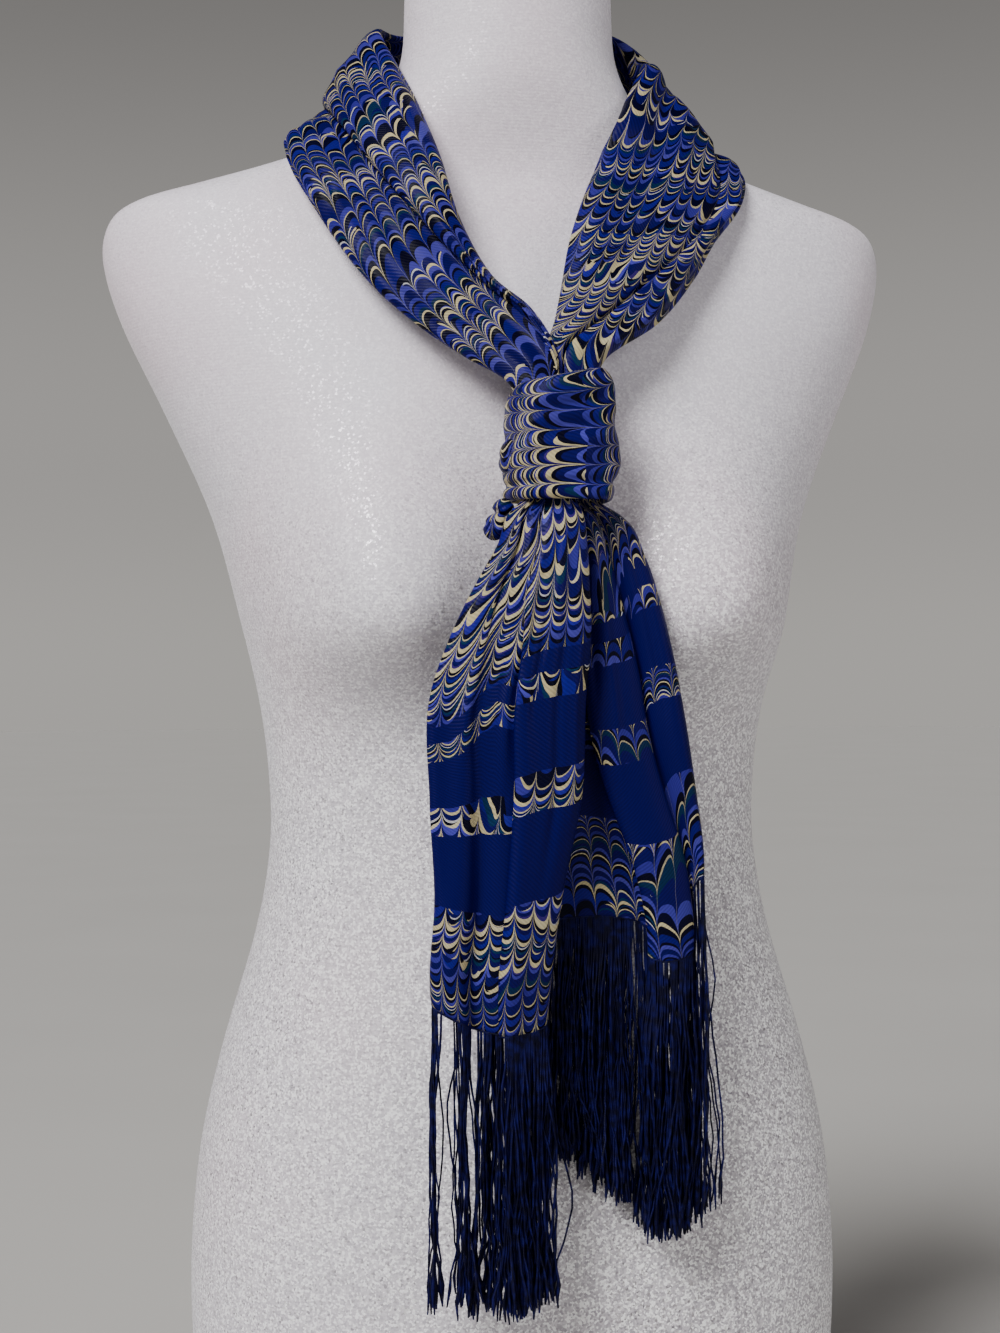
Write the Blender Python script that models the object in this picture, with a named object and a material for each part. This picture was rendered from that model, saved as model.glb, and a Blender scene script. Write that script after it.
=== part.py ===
"""A fringed silk scarf, knotted once and worn round the neck of a limbless dress form.

Metres, +Z up. The form faces -Y and stands on the plane Z = 0, with the origin at the
middle of its flat base. The scarf is one length of cloth, built as the stretches that
show: two that come down from the neck, the one behind the neck, the wrap of the knot,
two hanging tails and the fringe of each tail.
"""

import math

import bmesh
import bpy
import numpy as np
from mathutils import Vector
from mathutils.bvhtree import BVHTree

# Cloth
CLOTH_WALL = 0.0015
SEAM_GAP = 0.0004
SKIN_CLEARANCE = 0.0016
NECK_SEAM_TRIM = 0.012

# Dress form
FORM_SEGMENTS = 32
FORM_RINGS = 30
FORM_SQUARENESS = 2.3
NECK_SQUARENESS = 2.0
NECK_BASE_HEIGHT = 0.700
NECK_BLEND = 0.040
BUST_HEIGHT = 0.456
BUST_SPACING = 0.088
BUST_PROJECTION = 0.043
BUST_SPREAD = 0.050
BUST_RISE_ABOVE = 0.070
BUST_RISE_BELOW = 0.036
BUST_SIDE_FADE = 2.0

# Knot
KNOT_CENTRE = (-0.0008, -0.1190)
KNOT_HALF_WIDTH = 0.0260
KNOT_HALF_DEPTH = 0.0205
KNOT_SQUARENESS = 3.0
KNOT_WALL = 0.0018
KNOT_BOTTOM = 0.5065
KNOT_TOP = 0.5640
KNOT_TOP_SLOPE = 0.20
KNOT_SIDES = 20
KNOT_ROWS = 24
KNOT_GATHERS = 6
KNOT_GATHER_DEPTH = 0.0006
KNOT_RIM_DRAW = 0.05

# Fringe
STRIP_HEIGHT = 0.0035
HEM_SLOPE_GAP = 0.0006
HEM_LOOK_AHEAD = 0.0020
STRAND_LENGTH = 0.118
STRAND_STEPS = 2
STRAND_TAPER = 0.80
STRAND_SWAY = 0.0021
FRINGE_LEAN = 0.004
LONGEST_STRAND_CHANGE = 0.006
STRAND_WAVE = 90.0
SMALL_STRAND_WAVE = 211.0
STRAND_DEPTH_WAVE = 120.0
STRAND_LENGTH_WAVE = 500.0


def table(columns, rows):
    """Named columns of numbers, one row for each section or fold."""
    return dict(zip(columns.split(), np.array(rows, float).T))


# The torso at heights from the base to the neck: half-width, reach to the front and to the
# back, and how far behind the middle its widest place lies.
FORM = table(
    "height half_width front back set_back",
    [
        (0.000, 0.1490, 0.1020, 0.0880, 0.000),
        (0.035, 0.1570, 0.1080, 0.0950, 0.000),
        (0.075, 0.1625, 0.1130, 0.1010, 0.000),
        (0.120, 0.1645, 0.1160, 0.1040, 0.000),
        (0.160, 0.1630, 0.1150, 0.1030, 0.000),
        (0.200, 0.1580, 0.1110, 0.0980, 0.000),
        (0.244, 0.1475, 0.1050, 0.0880, 0.000),
        (0.300, 0.1310, 0.0970, 0.0750, 0.000),
        (0.342, 0.1240, 0.0920, 0.0690, 0.000),
        (0.378, 0.1245, 0.0910, 0.0710, 0.000),
        (0.414, 0.1290, 0.0920, 0.0770, 0.000),
        (0.456, 0.1385, 0.0930, 0.0870, 0.001),
        (0.507, 0.1520, 0.0930, 0.0970, 0.005),
        (0.558, 0.1740, 0.0860, 0.1030, 0.012),
        (0.604, 0.1955, 0.0740, 0.1010, 0.020),
        (0.636, 0.2050, 0.0600, 0.0930, 0.024),
        (0.655, 0.2025, 0.0510, 0.0800, 0.021),
        (0.665, 0.1900, 0.0460, 0.0700, 0.016),
        (0.673, 0.1620, 0.0430, 0.0600, 0.009),
        (0.682, 0.1310, 0.0420, 0.0530, 0.005),
        (0.692, 0.1030, 0.0430, 0.0500, 0.003),
        (0.705, 0.0800, 0.0460, 0.0510, 0.001),
        (0.722, 0.0640, 0.0500, 0.0530, 0.000),
        (0.743, 0.0550, 0.0515, 0.0530, 0.000),
        (0.775, 0.0530, 0.0520, 0.0525, 0.000),
        (0.793, 0.0520, 0.0510, 0.0515, 0.000),
        (0.800, 0.0460, 0.0445, 0.0450, 0.000),
    ],
)

# The cloth's two edges round the neck, from the knot up the left side, behind the neck
# and down the right side. Inner is the edge beside the neck. The two rises scale the folds
# beside each edge.
NECK_LOOP = table(
    "station inner_x inner_y inner_z outer_x outer_y outer_z inner_rise outer_rise",
    [
        (0, -0.0035, -0.1185, 0.5530, -0.0198, -0.1185, 0.5500, 0.50, 0.50),
        (1, -0.0063, -0.1130, 0.5789, -0.0240, -0.1110, 0.5630, 0.65, 0.65),
        (2, -0.0132, -0.1040, 0.5987, -0.0411, -0.1000, 0.5748, 0.75, 0.75),
        (3, -0.0278, -0.0940, 0.6141, -0.0592, -0.0900, 0.5885, 0.90, 0.90),
        (4, -0.0400, -0.0800, 0.6423, -0.0807, -0.0790, 0.6090, 1.00, 1.00),
        (5, -0.0465, -0.0660, 0.6748, -0.0977, -0.0600, 0.6367, 1.05, 1.05),
        (6, -0.0524, -0.0400, 0.7067, -0.1091, -0.0200, 0.6735, 1.10, 1.00),
        (7, -0.0614, 0.0120, 0.7553, -0.1000, 0.0220, 0.7000, 0.90, 0.70),
        (8, -0.0465, 0.0480, 0.7660, -0.0790, 0.0680, 0.6940, 0.80, 0.80),
        (9, 0.0000, 0.0640, 0.7700, 0.0000, 0.0860, 0.6900, 0.90, 0.90),
        (10, 0.0445, 0.0500, 0.7680, 0.0800, 0.0700, 0.6940, 0.90, 0.80),
        (11, 0.0590, 0.0260, 0.7560, 0.1050, 0.0400, 0.6930, 1.20, 0.55),
        (12, 0.0600, -0.0020, 0.7310, 0.1160, 0.0040, 0.6850, 1.60, 0.52),
        (13, 0.0347, -0.0520, 0.6825, 0.1155, -0.0200, 0.6770, 1.10, 0.80),
        (14, 0.0216, -0.0700, 0.6573, 0.1070, -0.0420, 0.6580, 1.00, 1.00),
        (15, 0.0117, -0.0820, 0.6328, 0.0895, -0.0610, 0.6380, 1.00, 1.00),
        (16, 0.0051, -0.0930, 0.6091, 0.0749, -0.0750, 0.6173, 0.95, 0.95),
        (17, 0.0001, -0.1020, 0.5924, 0.0525, -0.0920, 0.5935, 0.85, 0.85),
        (18, -0.0025, -0.1130, 0.5794, 0.0235, -0.1080, 0.5745, 0.65, 0.65),
        (19, -0.0005, -0.1185, 0.5560, 0.0155, -0.1185, 0.5560, 0.50, 0.50),
    ],
)

# One section across the neck loop: how far along from the inner to the outer edge, and
# how high above the form. Both edges turn under.
NECK_FOLDS = table(
    "along height",
    [
        (0.42, 0.0020),
        (0.22, 0.0016),
        (0.06, 0.0018),
        (0.00, 0.0042),
        (0.03, 0.0076),
        (0.13, 0.0105),
        (0.26, 0.0126),
        (0.38, 0.0122),
        (0.47, 0.0092),
        (0.53, 0.0080),
        (0.60, 0.0096),
        (0.71, 0.0112),
        (0.83, 0.0096),
        (0.94, 0.0070),
        (1.00, 0.0042),
        (0.96, 0.0018),
        (0.82, 0.0016),
        (0.62, 0.0020),
    ],
)

NECK_COLUMNS = 22
LIFT_REACH = 0.30
FACING_STEPS = (-0.8, -0.4, 0.0, 0.4, 0.8)
PROBE_REACH = 0.060

# Stations of the neck loop between which each stretch runs, and its rows of quads.
NECK_STRETCHES = {
    "neck_left": (0.0, 7.4, 18),
    "neck_back": (7.4, 11.4, 9),
    "neck_right": (11.4, 19.0, 20),
}

# Outline of each tail: distance below its top, left and right edge, middle of its depth,
# and how far its folds are opened out.
TAIL_TOP = 0.5115
FRONT_TAIL = table(
    "drop left right depth spread",
    [
        (0.000, -0.0185, 0.0030, -0.1275, 0.60),
        (0.005, -0.0203, 0.0045, -0.1280, 0.60),
        (0.010, -0.0260, 0.0065, -0.1310, 0.75),
        (0.025, -0.0325, 0.0080, -0.1345, 0.85),
        (0.042, -0.0425, 0.0085, -0.1365, 0.92),
        (0.069, -0.0560, 0.0085, -0.1385, 0.97),
        (0.091, -0.0640, 0.0060, -0.1395, 1.00),
        (0.140, -0.0650, 0.0035, -0.1395, 1.00),
        (0.184, -0.0630, -0.0055, -0.1395, 1.00),
        (0.228, -0.0650, -0.0115, -0.1395, 1.00),
        (0.245, -0.0625, -0.0130, -0.1395, 1.00),
    ],
)
BACK_TAIL = table(
    "drop left right depth spread",
    [
        (0.000, -0.0035, 0.0155, -0.1145, 0.45),
        (0.005, -0.0045, 0.0197, -0.1145, 0.45),
        (0.010, -0.0050, 0.0275, -0.1165, 0.65),
        (0.031, -0.0070, 0.0400, -0.1190, 0.85),
        (0.048, -0.0085, 0.0455, -0.1205, 0.92),
        (0.068, -0.0095, 0.0505, -0.1215, 0.97),
        (0.105, -0.0100, 0.0575, -0.1225, 1.00),
        (0.142, -0.0100, 0.0630, -0.1225, 1.00),
        (0.166, -0.0095, 0.0660, -0.1225, 1.00),
        (0.189, -0.0090, 0.0660, -0.1225, 1.00),
        (0.219, -0.0085, 0.0650, -0.1225, 1.00),
    ],
)

# Sections across the tails: how far along from the left to the right edge, how far
# towards the form, and the height of the hem there.
FRONT_FOLDS = table(
    "along depth hem",
    [
        (0.86, 0.0080, 0.2760),
        (0.60, 0.0086, 0.2745),
        (0.34, 0.0082, 0.2740),
        (0.12, 0.0072, 0.2750),
        (0.02, 0.0040, 0.2770),
        (0.00, 0.0005, 0.2790),
        (0.05, -0.0026, 0.2770),
        (0.18, -0.0048, 0.2730),
        (0.34, -0.0052, 0.2690),
        (0.47, -0.0024, 0.2665),
        (0.55, 0.0006, 0.2660),
        (0.64, -0.0014, 0.2660),
        (0.76, -0.0058, 0.2665),
        (0.90, -0.0056, 0.2670),
        (0.985, -0.0026, 0.2690),
        (1.00, 0.0004, 0.2710),
        (0.93, 0.0030, 0.2730),
        (0.74, 0.0042, 0.2730),
        (0.52, 0.0046, 0.2725),
        (0.30, 0.0038, 0.2720),
    ],
)
BACK_FOLDS = table(
    "along depth hem",
    [
        (0.56, 0.0088, 0.3060),
        (0.32, 0.0092, 0.3020),
        (0.10, 0.0084, 0.2990),
        (0.00, 0.0048, 0.2970),
        (0.02, 0.0004, 0.2955),
        (0.14, -0.0030, 0.2945),
        (0.32, -0.0046, 0.2935),
        (0.50, -0.0040, 0.2930),
        (0.62, 0.0004, 0.2930),
        (0.68, 0.0022, 0.2940),
        (0.76, 0.0000, 0.2975),
        (0.86, -0.0036, 0.3050),
        (0.96, -0.0028, 0.3140),
        (1.00, 0.0008, 0.3210),
        (0.96, 0.0042, 0.3260),
        (0.82, 0.0060, 0.3290),
        (0.65, 0.0062, 0.3290),
    ],
)
TAIL_COLUMNS = 30
TAIL_ROWS = 11
TAIL_ROW_CROWDING = 1.5
FRONT_STRANDS = 52
BACK_STRANDS = 48


def clear_scene():
    for scene_object in list(bpy.data.objects):
        bpy.data.objects.remove(scene_object, do_unlink=True)


def finish(name, colour, roughness, metallic=0.0):
    """A Principled material with the surface's own colour."""
    material = bpy.data.materials.new(name)
    material.use_nodes = True
    shader = material.node_tree.nodes["Principled BSDF"]
    shader.inputs["Base Color"].default_value = (*colour, 1.0)
    shader.inputs["Roughness"].default_value = roughness
    shader.inputs["Metallic"].default_value = metallic
    return material


def add_object(name, bm, material):
    """Turns a bmesh into a smooth-shaded object with one material."""
    mesh = bpy.data.meshes.new(name)
    bm.to_mesh(mesh)
    bm.free()
    mesh.shade_smooth()
    mesh.materials.append(material)
    made = bpy.data.objects.new(name, mesh)
    bpy.context.scene.collection.objects.link(made)
    return made


def add_wall(made, thickness, offset):
    """Gives an open sheet its thickness: offset 0 is both ways, -1 is inwards."""
    wall = made.modifiers.new("Cloth wall", "SOLIDIFY")
    wall.thickness = thickness
    wall.offset = offset


def smooth(rows, key, column, at):
    """Value of a column at a place between the rows, on a smooth curve through them."""
    keys = rows[key]
    values = rows[column]
    slopes = np.gradient(values, keys)
    i = int(np.clip(np.searchsorted(keys, at) - 1, 0, len(keys) - 2))
    span = keys[i + 1] - keys[i]
    f = min(max((at - keys[i]) / span, 0.0), 1.0)
    start = (1 + 2 * f) * (1 - f) ** 2 * values[i] + f * (1 - f) ** 2 * span * slopes[i]
    end = f * f * (3 - 2 * f) * values[i + 1] + f * f * (f - 1) * span * slopes[i + 1]
    return start + end


def along_rows(rows, column, share):
    """The same, by the share of the way from the first row to the last."""
    numbered = {"row": np.arange(len(rows[column]), dtype=float), column: rows[column]}
    return smooth(numbered, "row", column, share * (len(rows[column]) - 1))


def bell(distance, spread):
    return math.exp(-((distance / spread) ** 2))


def oval(angle, half_width, front, back, squareness):
    """A point on a rounded outline seen from above. Angle 0 is +X and 90 degrees +Y."""
    c = math.cos(angle)
    s = math.sin(angle)
    reach = back if s > 0 else front
    x = half_width * math.copysign(abs(c) ** (2 / squareness), c)
    y = reach * math.copysign(abs(s) ** (2 / squareness), s)
    return x, y


def sheet(columns, rows, place, joined=False):
    """A grid of quads, each point put at place(share across, share along)."""
    bm = bmesh.new()
    bmesh.ops.create_grid(bm, x_segments=columns, y_segments=rows, size=1.0)
    for vert in bm.verts:
        vert.co = place((vert.co.x + 1) / 2, (vert.co.y + 1) / 2)
    if joined:
        bmesh.ops.remove_doubles(bm, verts=bm.verts, dist=1e-6)
    bmesh.ops.recalc_face_normals(bm, faces=bm.faces)
    return bm


def form_point(across, along):
    """A point of the torso's skin: across goes once round it, along goes up it."""
    height = along_rows(FORM, "height", along)
    angle = 2 * math.pi * across
    neck_share = min(max((height - NECK_BASE_HEIGHT) / NECK_BLEND + 0.5, 0.0), 1.0)
    squareness = FORM_SQUARENESS + (NECK_SQUARENESS - FORM_SQUARENESS) * neck_share
    set_back = along_rows(FORM, "set_back", along)
    x, y = oval(
        angle,
        along_rows(FORM, "half_width", along),
        along_rows(FORM, "front", along) + set_back,
        along_rows(FORM, "back", along) - set_back,
        squareness,
    )
    if y < 0:
        lift = height - BUST_HEIGHT
        rise = BUST_RISE_ABOVE if lift > 0 else BUST_RISE_BELOW
        fullness = bell(abs(x) - BUST_SPACING, BUST_SPREAD) * bell(lift, rise)
        y -= BUST_PROJECTION * fullness * min(1.0, -math.sin(angle) * BUST_SIDE_FADE)
    return Vector((x, y + set_back, height))


def build_dress_form(material):
    bm = sheet(FORM_SEGMENTS, FORM_RINGS, form_point, joined=True)
    bmesh.ops.holes_fill(bm, edges=bm.edges)
    bmesh.ops.recalc_face_normals(bm, faces=bm.faces)
    tree = BVHTree.FromBMesh(bm)
    add_object("dress_form", bm, material)
    return tree


def kept_clear(point, tree, distance):
    """The point itself or, if it is nearer the form than this, the place moved out."""
    nearest, normal, _, _ = tree.find_nearest(point)
    away = (point - nearest).dot(normal)
    if away >= distance:
        return point
    return nearest + normal * distance


def loop_edge(side, station):
    return Vector(smooth(NECK_LOOP, "station", f"{side}_{axis}", station) for axis in "xyz")


def loop_outward(station, tree):
    """Direction square to the cloth's width, away from the form below it."""
    facing = Vector()
    for step in FACING_STEPS:
        near = min(max(station + step, 0.0), NECK_LOOP["station"][-1])
        middle = loop_edge("inner", near).lerp(loop_edge("outer", near), 0.5)
        facing += tree.find_nearest(middle)[1]
    chord = (loop_edge("outer", station) - loop_edge("inner", station)).normalized()
    return (facing - chord * facing.dot(chord)).normalized()


def height_of_form(point, outward, tree):
    """How far the form stands above this point, 0 where it lies below it."""
    _, _, _, distance = tree.ray_cast(point + outward * PROBE_REACH, -outward, PROBE_REACH)
    return 0.0 if distance is None else PROBE_REACH - distance


def edge_point(station, share):
    """A point on the straight line between the two edges."""
    return loop_edge("inner", station).lerp(loop_edge("outer", station), share)


def neck_point(across, station, tree):
    outward = loop_outward(station, tree)
    share = along_rows(NECK_FOLDS, "along", across)
    lift = max(
        height_of_form(edge_point(near, share), outward, tree)
        for near in (station - LIFT_REACH, station, station + LIFT_REACH)
    )
    inner_rise = smooth(NECK_LOOP, "station", "inner_rise", station)
    outer_rise = smooth(NECK_LOOP, "station", "outer_rise", station)
    rise = inner_rise + (outer_rise - inner_rise) * share
    fold = rise * along_rows(NECK_FOLDS, "height", across)
    point = edge_point(station, share) + outward * (lift + fold)
    return kept_clear(point, tree, CLOTH_WALL / 2 + SKIN_CLEARANCE)


def build_neck_stretch(name, tree, material):
    first, last, rows = NECK_STRETCHES[name]
    trim = NECK_SEAM_TRIM
    first += trim if first > 0 else 0
    last -= trim if last < NECK_LOOP["station"][-1] else 0

    def place(across, along):
        return neck_point(across, first + (last - first) * along, tree)

    add_wall(add_object(name, sheet(NECK_COLUMNS, rows, place), material), CLOTH_WALL, 0)


def knot_point(across, along):
    """A point of the wrap, which is drawn in at both rims and gathered across."""
    rim = abs(2 * along - 1)
    size = 1 - KNOT_RIM_DRAW * rim**6
    gather = KNOT_GATHER_DEPTH * math.cos(2 * math.pi * (KNOT_GATHERS * along + across))
    angle = 2 * math.pi * across
    x, y = oval(
        angle,
        KNOT_HALF_WIDTH * size + gather,
        KNOT_HALF_DEPTH * size + gather,
        KNOT_HALF_DEPTH * size,
        KNOT_SQUARENESS,
    )
    top = KNOT_TOP + KNOT_TOP_SLOPE * x
    height = KNOT_BOTTOM + (top - KNOT_BOTTOM) * along
    return Vector((KNOT_CENTRE[0] + x, KNOT_CENTRE[1] + y, height))


def build_knot(material):
    bm = sheet(KNOT_SIDES, KNOT_ROWS, knot_point, joined=True)
    add_wall(add_object("knot", bm, material), KNOT_WALL, -1)


def tail_point(outline, folds, across, along, tree):
    """A point of a tail, from its top inside the knot down to its hem."""
    hem = along_rows(folds, "hem", across)
    drop = (TAIL_TOP - hem) * along**TAIL_ROW_CROWDING
    left = smooth(outline, "drop", "left", drop)
    right = smooth(outline, "drop", "right", drop)
    spread = smooth(outline, "drop", "spread", drop)
    x = left + (right - left) * along_rows(folds, "along", across)
    y = smooth(outline, "drop", "depth", drop) + spread * along_rows(folds, "depth", across)
    return kept_clear(Vector((x, y, TAIL_TOP - drop)), tree, CLOTH_WALL / 2 + SKIN_CLEARANCE)


def build_tail(name, outline, folds, tree, material):
    def place(across, along):
        return tail_point(outline, folds, across, along, tree)

    add_wall(add_object(name, sheet(TAIL_COLUMNS, TAIL_ROWS, place), material), CLOTH_WALL, 0)


class Hem:
    """The hem of a tail, measured along its folds."""

    def __init__(self, outline, folds, tree):
        shares = np.linspace(0.0, 1.0, TAIL_COLUMNS + 1)
        self.points = np.array([tail_point(outline, folds, s, 1.0, tree) for s in shares])
        steps = np.linalg.norm(np.diff(self.points[:, :2], axis=0), axis=1)
        self.lengths = np.concatenate([[0.0], np.cumsum(steps)])
        self.length = self.lengths[-1]

    def place(self, distance):
        return Vector(np.interp(distance, self.lengths, self.points[:, i]) for i in range(3))

    def hanging(self, distance):
        """(place just below the hem, direction across the cloth) at a distance along it."""
        place = self.place(distance)
        travel = self.place(distance + HEM_LOOK_AHEAD) - self.place(distance - HEM_LOOK_AHEAD)
        slope = abs(travel.z) / travel.xy.length
        place.z -= SEAM_GAP + HEM_SLOPE_GAP * slope
        travel.z = 0
        travel.normalize()
        return place, Vector((-travel.y, travel.x, 0))


def hang(vert, hem):
    """Takes a point of the fringe from the flat onto the hem that it hangs from."""
    distance, through, drop = vert.co
    place, across = hem.hanging(distance)
    share = max(0.0, -drop - STRIP_HEIGHT) / STRAND_LENGTH
    aside = math.sin(distance * STRAND_WAVE) + 0.6 * math.sin(distance * SMALL_STRAND_WAVE)
    forward = 0.5 * math.cos(distance * STRAND_DEPTH_WAVE)
    sway = Vector((aside, forward, 0)) * STRAND_SWAY * share
    shorter = LONGEST_STRAND_CHANGE * math.sin(distance * STRAND_LENGTH_WAVE) * share
    fall = Vector((0, -FRINGE_LEAN * share, drop + shorter))
    vert.co = place + across * through + sway + fall


def build_fringe(name, hem, strands, material):
    """A narrow strip below the hem with separate strands drawn down from its edge."""
    bm = bmesh.new()
    bmesh.ops.create_grid(bm, x_segments=2 * strands + 1, y_segments=1, size=0.5)
    for vert in bm.verts:
        vert.co = ((vert.co.x + 0.5) * hem.length, vert.co.y * CLOTH_WALL, -STRIP_HEIGHT)
    lower = sorted(bm.faces, key=lambda face: face.calc_center_median().x)
    raised = bmesh.ops.extrude_face_region(bm, geom=lower, use_keep_orig=True)
    upper = [item for item in raised["geom"] if isinstance(item, bmesh.types.BMVert)]
    bmesh.ops.translate(bm, verts=upper, vec=(0, 0, STRIP_HEIGHT))
    bmesh.ops.recalc_face_normals(bm, faces=bm.faces)
    tips = lower[1::2]
    for _ in range(STRAND_STEPS):
        tips = bmesh.ops.extrude_discrete_faces(bm, faces=tips)["faces"]
        for tip in tips:
            middle = tip.calc_center_median()
            for vert in tip.verts:
                vert.co = middle + (vert.co - middle) * STRAND_TAPER
                vert.co.z -= STRAND_LENGTH / STRAND_STEPS
    for vert in bm.verts:
        hang(vert, hem)
    add_object(name, bm, material)


def build_scarf(tree):
    silk = finish("printed silk twill", (0.012, 0.020, 0.150), 0.42)
    thread = finish("navy silk thread", (0.002, 0.002, 0.012), 0.60)
    for name in NECK_STRETCHES:
        build_neck_stretch(name, tree, silk)
    build_knot(silk)
    tails = (
        ("front", FRONT_TAIL, FRONT_FOLDS, FRONT_STRANDS),
        ("back", BACK_TAIL, BACK_FOLDS, BACK_STRANDS),
    )
    for side, outline, folds, strands in tails:
        build_tail(f"tail_{side}", outline, folds, tree, silk)
        build_fringe(f"fringe_{side}", Hem(outline, folds, tree), strands, thread)


clear_scene()
form_tree = build_dress_form(finish("glitter jersey", (0.66, 0.63, 0.68), 0.45, 0.25))
build_scarf(form_tree)
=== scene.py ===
import math

import bmesh
import bpy
import numpy as np
from mathutils import Matrix, Vector
from mathutils.bvhtree import BVHTree


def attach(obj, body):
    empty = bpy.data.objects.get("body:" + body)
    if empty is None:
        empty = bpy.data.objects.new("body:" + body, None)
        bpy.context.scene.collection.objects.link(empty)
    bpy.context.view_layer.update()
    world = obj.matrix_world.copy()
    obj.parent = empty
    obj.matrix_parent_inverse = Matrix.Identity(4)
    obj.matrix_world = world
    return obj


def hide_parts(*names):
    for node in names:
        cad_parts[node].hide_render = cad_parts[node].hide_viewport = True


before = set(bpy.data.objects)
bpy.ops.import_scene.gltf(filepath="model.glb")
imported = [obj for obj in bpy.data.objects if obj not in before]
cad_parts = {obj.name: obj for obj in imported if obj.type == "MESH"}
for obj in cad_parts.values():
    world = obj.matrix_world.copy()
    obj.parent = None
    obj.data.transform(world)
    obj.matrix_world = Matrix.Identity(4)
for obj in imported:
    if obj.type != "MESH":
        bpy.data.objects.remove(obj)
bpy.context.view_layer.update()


def table(columns, rows):  # named columns of numbers
    return dict(zip(columns.split(), np.array(rows, float).T))


def through(keys, values, at):  # a smooth curve through the rows, read at each place
    keys, values, at = np.asarray(keys, float), np.asarray(values, float), np.atleast_1d(at)
    slopes = np.gradient(values, keys, axis=0)
    i = np.clip(np.searchsorted(keys, at) - 1, 0, len(keys) - 2)
    span = keys[i + 1] - keys[i]
    f = np.clip((at - keys[i]) / span, 0.0, 1.0)
    shape = (-1,) + (1,) * (values.ndim - 1)
    f, span = f.reshape(shape), span.reshape(shape)
    start = (1 + 2 * f) * (1 - f) ** 2 * values[i] + f * (1 - f) ** 2 * span * slopes[i]
    end = f * f * (3 - 2 * f) * values[i + 1] + f * f * (f - 1) * span * slopes[i + 1]
    return start + end


def columnsOf(rows, names, key, at):
    values = np.stack([rows[name] for name in names.split()], axis=1)
    return through(rows[key], values, at).T


def softStep(low, high, x):
    f = np.clip((x - low) / (high - low), 0.0, 1.0)
    return f * f * (3 - 2 * f)


# Troughs and ridges, listed one by one: each runs from one place to another on the cloth
def creaseLift(creases, across, down, size):
    lift = np.zeros(np.broadcast(across, down).shape)
    for fromDown, fromAcross, toDown, toAcross, width, depth in creases:
        f = (down - fromDown) / (toDown - fromDown)
        middle = fromAcross + (toAcross - fromAcross) * f
        fade = softStep(0.0, 0.28, f) * softStep(0.0, 0.28, 1 - f)
        lift = lift + depth * fade * np.exp(-(((across - middle) * size / width) ** 2))
    return lift


def keptClear(points, tree, distance):  # moves out what lies nearer to the form than this
    flat = points.reshape(-1, 3)
    for i, place in enumerate(flat):
        nearest, normal, _, _ = tree.find_nearest(Vector(place))
        if (Vector(place) - nearest).dot(normal) < distance:
            flat[i] = nearest + normal * distance
    return flat.reshape(points.shape)


def hexColour(code):  # sRGB hex to the linear values that the shader takes
    parts = [int(code[i : i + 2], 16) / 255 for i in (1, 3, 5)]
    return tuple(c / 12.92 if c <= 0.04045 else ((c + 0.055) / 1.055) ** 2.4 for c in parts) + (1.0,)


def addNode(tree, kind, settings, inputs):
    made = tree.nodes.new(kind)
    for name, value in settings.items():
        setattr(made, name, value)
    for socket, value in inputs.items():
        if isinstance(value, bpy.types.NodeSocket):
            tree.links.new(value, made.inputs[socket])
        else:
            made.inputs[socket].default_value = value
    return made.outputs


def calc(tree, operation, *values):
    return addNode(tree, "ShaderNodeMath", {"operation": operation}, dict(enumerate(values)))["Value"]


def scaled(tree, vector, by):
    return addNode(tree, "ShaderNodeVectorMath", {"operation": "MULTIPLY"}, {0: vector, 1: by})["Vector"]


def mixed(tree, factor, first, second):
    return addNode(tree, "ShaderNodeMix", {"data_type": "RGBA"}, {"Factor": factor, 6: first, 7: second})[2]


def spread(tree, value, source, target, kind="LINEAR"):  # from one range to another
    ends = {"From Min": source[0], "From Max": source[1], "To Min": target[0], "To Max": target[1]}
    inputs = {"Value": value, **ends}
    return addNode(tree, "ShaderNodeMapRange", {"interpolation_type": kind}, inputs)["Result"]


def cloud(tree, place, scale, detail, flat=False, rough=0.5):
    settings = {"noise_dimensions": "2D" if flat else "3D"}
    inputs = {"Vector": place, "Scale": scale, "Detail": detail, "Roughness": rough}
    return addNode(tree, "ShaderNodeTexNoise", settings, inputs)["Fac"]


def bumped(tree, height, strength, distance):
    inputs = {"Height": height, "Strength": strength, "Distance": distance}
    return addNode(tree, "ShaderNodeBump", {}, inputs)["Normal"]


def newMaterial(name):
    material = bpy.data.materials.new(name)
    material.use_nodes = True
    tree = material.node_tree
    return material, tree, tree.nodes["Principled BSDF"]


def setRamp(ramp, stops, interpolation):
    ramp.interpolation = interpolation
    while len(ramp.elements) < len(stops):
        ramp.elements.new(0.5)
    for element, (place, colour) in zip(ramp.elements, stops):
        element.position = place
        element.color = hexColour(colour)


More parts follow.
